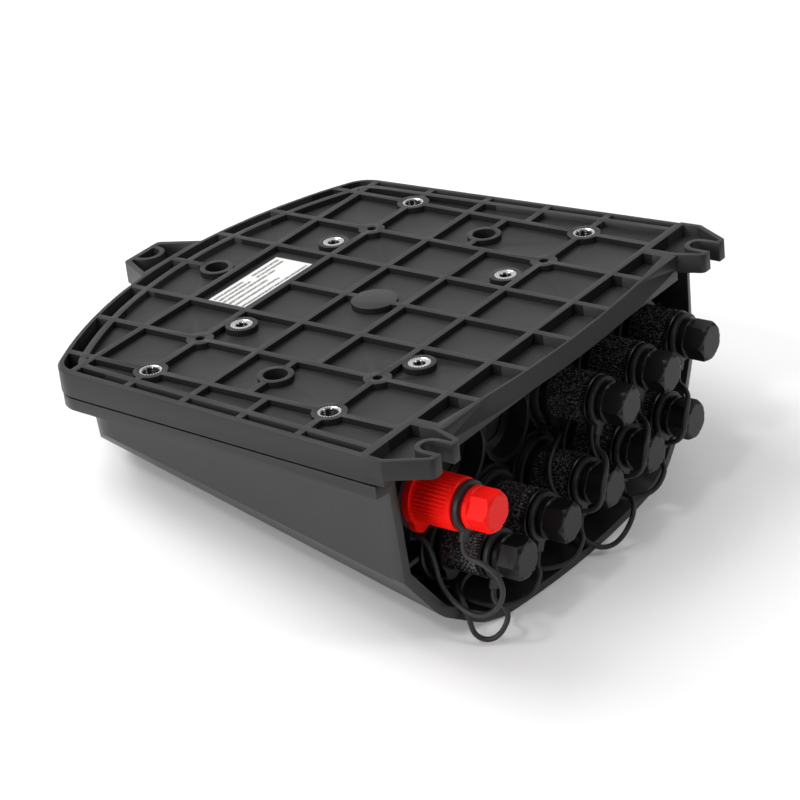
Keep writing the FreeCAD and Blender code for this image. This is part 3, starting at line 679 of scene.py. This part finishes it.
def fluted_sleeve(number, flutes, depth, material):
    """Grip flutes round an adapter's sleeve, from its front flange on and over part of its end rim."""
    y, z = PORT_PLACES[number - 1]
    x0, x1 = SLEEVE_FRONT_X, SLEEVE_BACK_X + FLUTES_PAST_SLEEVE
    steps = flutes * STEPS_EACH
    nothing_selected()
    bpy.ops.mesh.primitive_cylinder_add(vertices=steps, radius=SLEEVE_R + depth, depth=x1 - x0,
                                        end_fill_type="NGON", location=((x0 + x1) / 2, y, z),
                                        rotation=(0, math.pi / 2, 0))
    piece = bpy.context.object
    piece.name = "sleeve_flutes_%d" % number
    settle(piece)
    bpy.ops.object.mode_set(mode="EDIT")
    mesh = bmesh.from_edit_mesh(piece.data)
    for vertex in mesh.verts:
        flat = Vector((0, vertex.co.y - y, vertex.co.z - z))
        if is_cut(flat.y, flat.z, steps):
            vertex.co -= flat.normalized() * depth * FLUTE_CUT_SHARE
    for face in mesh.faces:
        face.select_set(abs(face.normal.x) > END_FACE)
    bmesh.update_edit_mesh(piece.data)
    bpy.ops.mesh.inset(thickness=FLUTE_END_RING, depth=0.0)
    bpy.ops.mesh.delete(type="FACE")
    bpy.ops.object.mode_set(mode="OBJECT")
    bevel_edges(piece, FLUTE_BEVEL, 1, FLUTE_BEVEL_ANGLE)
    bpy.ops.object.shade_smooth_by_angle(angle=FLUTE_SMOOTH)
    coat(piece, material)
    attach(piece, "box")


for number in PORT_NUMBERS:
    if number == RED_PORT:
        fluted_sleeve(number, RED_FLUTES, RED_FLUTE_DEPTH, red_plastic)
    else:
        fluted_sleeve(number, FLUTES, FLUTE_DEPTH, sleeve_plastic)


# Parts whose moulded edges are rounded

PLUG_EDGE = 0.00022
RING_EDGE = 0.00025
PLATE_EDGE = 0.00028
COVER_EDGE = 0.0004
HEX_FACE_SHARE = 0.88
HEX_FLAT_WITHIN = math.radians(0.4)
SEAM_EXTRA = 0.0006
AT_PLANE = 0.0001


def smaller_end_face(y, z):
    """Draws the plug's end face in, so that its chamfer is wider."""
    def change(mesh):
        bmesh.ops.dissolve_limit(mesh, angle_limit=HEX_FLAT_WITHIN, verts=mesh.verts[:], edges=mesh.edges[:])
        for vertex in mesh.verts:
            if vertex.co.x > HEX_END_X - AT_PLANE:
                vertex.co.y = y + (vertex.co.y - y) * HEX_FACE_SHARE
                vertex.co.z = z + (vertex.co.z - z) * HEX_FACE_SHARE
    return change


def wider_seam(mesh):
    """Lowers the top of the cover's flange a little, so that the seam shows as a dark line."""
    for vertex in mesh.verts:
        if vertex.co.z > COVER_TOP_Z - AT_PLANE:
            vertex.co.z -= SEAM_EXTRA


for number in PORT_NUMBERS:
    softened("dust_plug_%d" % number, "rounded_plug_%d" % number, port_plastic(number), PLUG_EDGE,
             "plug_%d" % number, smaller_end_face(*PORT_PLACES[number - 1]), crisp=True)
    softened("tether_ring_%d" % number, "rounded_ring_%d" % number, tether_rubber, RING_EDGE,
             "ring_%d" % number)
softened("back_plate", "rounded_back_plate", case_plastic, PLATE_EDGE, "box")
softened("front_cover", "rounded_front_cover", cover_plastic, COVER_EDGE, "box", wider_seam)


# Floor, backdrop and lights

FLOOR_SIZE = 6.0
FLOOR_Z = -0.0662
FLOOR_SLOPE = math.atan(0.254)
FLOOR_GLOW = 0.05
FLOOR_WHITE = (0.94, 0.94, 0.94, 1)

# The sky's strength falls from the first to the second between these directions along X
SKY_FROM = -0.3
SKY_TO = 0.8
SKY_BRIGHT = 0.85
SKY_DIM = 0.16

# Lights as (name, place, size, power in watts), each turned to the origin
LIGHTS = (("key", (-0.7, -0.3, 1.3), 0.9, 15.0), ("side", (-0.3, -1.5, 0.5), 0.7, 10.5),
          ("front", (1.3, 0.5, 0.9), 0.6, 5.0), ("glint", (0.15, -0.9, 1.0), 0.12, 2.5))


def floor():
    """White floor along the sloping front of the box, just clear of the straps."""
    nothing_selected()
    bpy.ops.mesh.primitive_plane_add(size=FLOOR_SIZE, location=(0, 0, FLOOR_Z))
    plane = bpy.context.object
    plane.name = "floor"
    plane.rotation_euler = (0, FLOOR_SLOPE, 0)
    material = bpy.data.materials.new("floor_white")
    material.use_nodes = True
    tree = material.node_tree
    shader = tree.nodes["Principled BSDF"]
    shader.inputs["Base Color"].default_value = FLOOR_WHITE
    shader.inputs["Roughness"].default_value = 0.9
    shader.inputs["Specular IOR Level"].default_value = 0.0
    shader.inputs["Emission Strength"].default_value = FLOOR_GLOW
    paths = tree.nodes.new("ShaderNodeLightPath")
    tree.links.new(paths.outputs["Is Camera Ray"], shader.inputs["Emission Color"])
    plane.data.materials.append(material)


def world():
    """White as the camera sees it, and as a light a soft sky that is dimmer towards the ports."""
    scene_world = bpy.data.worlds.new("studio")
    bpy.context.scene.world = scene_world
    scene_world.use_nodes = True
    tree = scene_world.node_tree
    background = tree.nodes["Background"]
    paths = tree.nodes.new("ShaderNodeLightPath")
    place = tree.nodes.new("ShaderNodeTexCoord")
    split = tree.nodes.new("ShaderNodeSeparateXYZ")
    tree.links.new(place.outputs["Generated"], split.inputs[0])
    sky = tree.nodes.new("ShaderNodeMapRange")
    tree.links.new(split.outputs["X"], sky.inputs[0])
    sky.inputs["From Min"].default_value = SKY_FROM
    sky.inputs["From Max"].default_value = SKY_TO
    sky.inputs["To Min"].default_value = SKY_BRIGHT
    sky.inputs["To Max"].default_value = SKY_DIM
    seen = tree.nodes.new("ShaderNodeMath")
    seen.operation = "MAXIMUM"
    tree.links.new(paths.outputs["Is Camera Ray"], seen.inputs[0])
    tree.links.new(paths.outputs["Is Transmission Ray"], seen.inputs[1])
    strength = tree.nodes.new("ShaderNodeMix")
    tree.links.new(seen.outputs[0], strength.inputs[0])
    tree.links.new(sky.outputs[0], strength.inputs[2])
    strength.inputs[3].default_value = 1.0
    tree.links.new(strength.outputs[0], background.inputs["Strength"])
    background.inputs["Color"].default_value = (1, 1, 1, 1)


def soft_light(name, place, size, power):
    data = bpy.data.lights.new(name, "AREA")
    data.shape = "SQUARE"
    data.size = size
    data.energy = power
    lamp = bpy.data.objects.new(name, data)
    bpy.context.scene.collection.objects.link(lamp)
    lamp.location = place
    lamp.rotation_euler = (-Vector(place)).to_track_quat("-Z", "Y").to_euler()


floor()
world()
for light in LIGHTS:
    soft_light(*light)
bpy.context.scene.view_settings.view_transform = "Standard"
